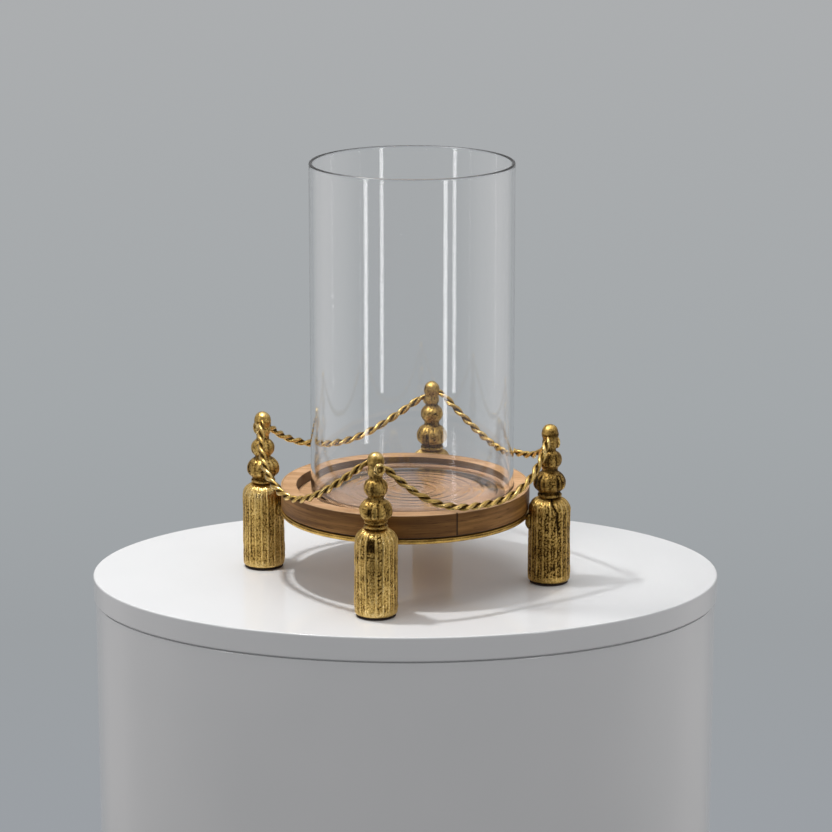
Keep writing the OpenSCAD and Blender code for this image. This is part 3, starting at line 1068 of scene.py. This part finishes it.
def floor_ripples(radius):
    """Height of the rings that pressing leaves in the glass floor."""
    swell = fade(radius, 4, 10) * (1 - fade(radius, 52, 60))
    rings = np.sin(radius * 2 * math.pi / 7.5) + 0.5 * np.sin(radius * 2 * math.pi / 4.1 + 1)
    return 0.055 * swell * rings - 0.25 * bump_at(radius, 0, 9)


def add_glass(material):
    """The open cylinder: heavy floor, rounded heel and fire-polished rim."""
    lip_r = GLASS_WALL / 2
    inner_r = GLASS_R - GLASS_WALL
    inner_heel = GLASS_HEEL_R - GLASS_WALL
    floor_z = GLASS_LOW_Z + GLASS_FLOOR
    top_z = GLASS_TOP_Z - lip_r
    floor_out = inner_r - inner_heel
    floor_r = np.linspace(floor_out - 0.5, 0.5, 130)
    floor = np.stack([floor_r, floor_z + floor_ripples(floor_r)], -1)
    punt_z = GLASS_LOW_Z + 0.6
    foot_r = 64
    section = np.vstack(
        [
            line((1, punt_z), (60, punt_z), 6),
            arc((foot_r, GLASS_LOW_Z + 3), 3, -127, -90, 4),
            held_line((foot_r + 0.1, GLASS_LOW_Z), (GLASS_R - GLASS_HEEL_R - 0.1, GLASS_LOW_Z)),
            arc((GLASS_R - GLASS_HEEL_R, GLASS_LOW_Z + GLASS_HEEL_R), GLASS_HEEL_R, -90, 0, 12),
            held_line((GLASS_R, GLASS_LOW_Z + GLASS_HEEL_R + 0.1), (GLASS_R, top_z - 0.1), 2),
            arc((GLASS_R - lip_r, top_z), lip_r, 0, 180, 12),
            held_line((inner_r, top_z - 0.1), (inner_r, floor_z + inner_heel + 0.1), 2),
            arc((floor_out, floor_z + inner_heel), inner_heel, 0, -90, 10),
            floor,
        ]
    )
    angle = around(320)
    grid = turned(section[:, :1], section[:, 1:], angle[None, :], (GLASS_X, GLASS_Y))
    points, faces = tube_mesh(grid)
    # 1 in the floor, where the glass gets the grey-lilac tint of painted shade and reflection, and
    # -1 on the lip, which is duller
    low = 1 - fade(section[:, 1], GLASS_LOW_Z + 4.2, GLASS_LOW_Z + 9)
    floor_tint_and_lip = np.where(section[:, 0] < GLASS_R - 1, low, 0)
    floor_tint_and_lip = (floor_tint_and_lip - fade(section[:, 1], top_z - 0.2, top_z + 0.2))[:, None] + 0 * angle[None, :]
    add_piece(
        "glass", "glass_cylinder", "glass", points, faces, material,
        with_ends(floor_tint_and_lip),
    )


# ---- stage ----

CAMERA_AZIMUTH = 10.97
PLINTH_R = 232.6
PLINTH_DEEP_R = 167.3
PLINTH_SHIFT = 7.4
LID_T = 18
LID_GAP = 1.2
DRUM_INSET = 1.5
DRUM_H = 560


def add_plinth(material):
    """The pale oval plinth that the lantern stands on, with its wide side to the front."""
    edge_r = 1.2
    drum_r = PLINTH_R - DRUM_INSET
    gap_r = PLINTH_R - 8
    outlines = {
        "floor_lid": [
            line((1, -LID_T), (PLINTH_R - 30, -LID_T), 2),
            held_line((PLINTH_R - 30, -LID_T), (PLINTH_R - edge_r, -LID_T)),
            arc((PLINTH_R - edge_r, -LID_T + edge_r), edge_r, -90, 0, 6),
            held_line((PLINTH_R, -LID_T + edge_r + 0.1), (PLINTH_R, -edge_r - 0.1)),
            arc((PLINTH_R - edge_r, -edge_r), edge_r, 0, 90, 6),
            held_line((PLINTH_R - edge_r - 0.1, 0), (PLINTH_R - 30, 0)),
            line((PLINTH_R - 30, 0), (1, 0), 2),
        ],
        "floor_drum": [
            line((1, -DRUM_H), (drum_r - 1, -DRUM_H), 2),
            held_line((drum_r, -DRUM_H + 1), (drum_r, -LID_T - LID_GAP - 0.5)),
            arc((drum_r - 0.5, -LID_T - LID_GAP - 0.5), 0.5, 0, 90, 4),
            line((gap_r, -LID_T - LID_GAP), (gap_r - 1, -LID_T - LID_GAP), 1),
            line((gap_r - 1, -LID_T), (1, -LID_T), 2),
        ],
    }
    angle = around(360)
    for name, parts in outlines.items():
        section = np.vstack(parts)
        grid = turned(section[:, :1], section[:, 1:], angle[None, :])
        deep = grid[..., 1] * PLINTH_DEEP_R / PLINTH_R + PLINTH_SHIFT
        grid = spun(grid[..., 0], deep, grid[..., 2], CAMERA_AZIMUTH)
        points, faces = tube_mesh(grid)
        make_object(name, points, faces, material)


# Colours of the surroundings. The backdrop and the shade go by height, from straight down
# at 0 to straight up at 1, and the others from the back at 0 to the viewer's side at 1.
BACKDROP_STOPS = [
    (0.0, (0.30, 0.31, 0.32)),
    (0.323, (0.328, 0.348, 0.373)),
    (0.352, (0.333, 0.352, 0.368)),
    (0.381, (0.368, 0.390, 0.404)),
    (0.44, (0.412, 0.423, 0.432)),
    (0.52, (0.40, 0.41, 0.42)),
    (0.62, (0.30, 0.305, 0.31)),
    (1.0, (0.35, 0.355, 0.36)),
]
ROOM_STOPS = [
    (0.08, (0.40, 0.41, 0.42)),
    (0.30, (0.82, 0.80, 0.80)),
    (0.55, (0.70, 0.69, 0.69)),
    (0.80, (0.27, 0.27, 0.28)),
]
ROOM_SHADE = [
    (0.28, (0.10, 0.10, 0.10)),
    (0.33, (1, 1, 1)),
    (0.45, (1, 1, 1)),
    (0.50, (0.30, 0.30, 0.30)),
    (0.68, (0.85, 0.85, 0.85)),
]
BACKDROP_EDGE = [(0.07, (0, 0, 0)), (0.16, (1, 1, 1))]


def add_world():
    """A grey studio: a mid grey backdrop, pale walls at both sides, and a darker room on
    the side from which the lantern is seen."""
    world = bpy.data.worlds.new("studio")
    bpy.context.scene.world = world
    w = Nodes(world)
    direction = w.add("ShaderNodeTexCoord").outputs["Generated"]

    def level_along(axis):
        """How far a direction points along an axis, as 0 to 1."""
        product = w.add("ShaderNodeVectorMath", operation="DOT_PRODUCT")
        w.link(direction, product.inputs[0])
        product.inputs[1].default_value = axis
        return w.range(product.outputs["Value"], -1, 1, 0, 1)

    spin = math.radians(CAMERA_AZIMUTH)
    height = level_along((0, 0, 1))
    towards_viewer = level_along((math.sin(spin), -math.cos(spin), 0))
    walls = w.ramp(towards_viewer, ROOM_STOPS)
    room = w.mix(1.0, walls, w.ramp(height, ROOM_SHADE), "MULTIPLY")
    beside = w.ramp(towards_viewer, BACKDROP_EDGE)
    sky = w.mix(beside, w.ramp(height, BACKDROP_STOPS), room)
    w.link(sky, w.tree.nodes["Background"].inputs["Color"])


KEY_PLACE = (-0.20, -0.066, 0.69)
KEY_SIZE = (0.035, 0.035)
KEY_POWER = 2.6
TOP_PLACE = (0, 0.1, 1.7)
TOP_SIZE = (1.3, 1.3)
TOP_POWER = 6.5
STRIP_TURNS = {"left_strip": -52, "right_strip": 37}
STRIP_POWER = 4.2
STRIP_LOW_Z = -0.30
STRIP_HIGH_Z = 1.50
STRIP_DISTANCE = 1.7
STRIP_W = 0.13


def add_area_light(name, place, aim, size, power):
    """A softbox; place, aim and size are in metres, and power is in watts."""
    data = bpy.data.lights.new(name, "AREA")
    data.shape = "RECTANGLE"
    data.size, data.size_y = size
    data.energy = power
    light = bpy.data.objects.new(name, data)
    light.location = place
    light.rotation_euler = (Vector(aim) - Vector(place)).to_track_quat("-Z", "Y").to_euler()
    light.visible_camera = False
    light.visible_transmission = False
    bpy.context.scene.collection.objects.link(light)
    return light


CAMERA_PITCH = 13.81
CAMERA_DISTANCE = 2.540
CAMERA_LENS = 149.2
# From the middle of the CAD's box to the point that the camera looks at
CAMERA_AIM = Vector((7.8, 1.5, -34.4)) * MM


def add_camera():
    """The photograph's view, aimed a little below the middle of the lantern."""
    azimuth, pitch = math.radians(CAMERA_AZIMUTH), math.radians(CAMERA_PITCH)
    level = math.cos(pitch)
    back = Vector((math.sin(azimuth) * level, -math.cos(azimuth) * level, math.sin(pitch)))
    data = bpy.data.cameras.new("camera")
    data.lens = CAMERA_LENS
    data.clip_end = 50
    camera = bpy.data.objects.new("camera", data)
    camera.location = (cad_box[0] + cad_box[1]) / 2 + CAMERA_AIM + back * CAMERA_DISTANCE
    camera.rotation_euler = (-back).to_track_quat("-Z", "Y").to_euler()
    bpy.context.scene.collection.objects.link(camera)
    bpy.context.scene.camera = camera


def beside_camera(turn, distance, height):
    """A place at a turn in degrees to the right of the camera, seen from the lantern."""
    angle = math.radians(CAMERA_AZIMUTH + turn)
    return distance * math.sin(angle), -distance * math.cos(angle), height


def add_lights():
    """A small lamp from the left, a wide soft one above, and two tall strips that show
    as streaks in the glass."""
    middle = (0, 0, 0.1)
    add_area_light("key", KEY_PLACE, middle, KEY_SIZE, KEY_POWER)
    add_area_light("top", TOP_PLACE, middle, TOP_SIZE, TOP_POWER)
    strip_z = (STRIP_LOW_Z + STRIP_HIGH_Z) / 2
    strip_size = (STRIP_W, STRIP_HIGH_Z - STRIP_LOW_Z)
    for name, turn in STRIP_TURNS.items():
        place = beside_camera(turn, STRIP_DISTANCE, strip_z)
        strip = add_area_light(name, place, (0, 0, strip_z), strip_size, STRIP_POWER)
        strip.visible_transmission = True


# ---- the scene ----

cast_brass = brass_material("cast_brass", BRASS_STOPS, wear=0.0, pits=0.10, gloss=0.27)
wire_brass = brass_material("wire_brass", BRASS_STOPS, wear=0.14, pits=0.06, gloss=0.20)
ring_brass = brass_material("ring_brass", RING_STOPS, wear=-0.12, pits=0.03, gloss=0.27)
felt = felt_material()

board_wood = wood_material(
    "board_wood",
    lambda m: m.place(),
    ((0.16, 0.075, 0.03), (0.38, 0.20, 0.088), (0.53, 0.31, 0.155), (0.65, 0.41, 0.235)),
    gloss=0.42,
    stain_and_shade=(0.045, 0.024, 0.012),
)
band_wood = wood_material(
    "band_wood",
    lambda m: m.attribute("strip").outputs["Vector"],
    ((0.03, 0.012, 0.003), (0.10, 0.042, 0.010), (0.18, 0.08, 0.019), (0.34, 0.165, 0.045)),
    gloss=0.45,
    stain_and_shade=(0.02, 0.01, 0.004),
    painted_highlight=(0.62, 0.40, 0.22),
)

for leg in LEGS:
    add_skirt(leg, cast_brass)
    add_stem(leg, cast_brass)
    add_eyelet(leg, wire_brass)
    add_pad(leg, felt)
for swag_facts in SWAGS:
    add_swag_wire(swag_facts, 0, wire_brass)
    add_swag_wire(swag_facts, 1, wire_brass)
add_ring(ring_brass)
add_brazing(wire_brass)
add_board(board_wood)
add_edge_band(band_wood)
add_glass(glass_material())

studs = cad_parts["stem_studs"]
studs.data.materials.clear()
studs.data.materials.append(steel_material())

add_plinth(plinth_material())
add_world()
add_lights()
add_camera()
bpy.context.scene.view_settings.view_transform = "Standard"
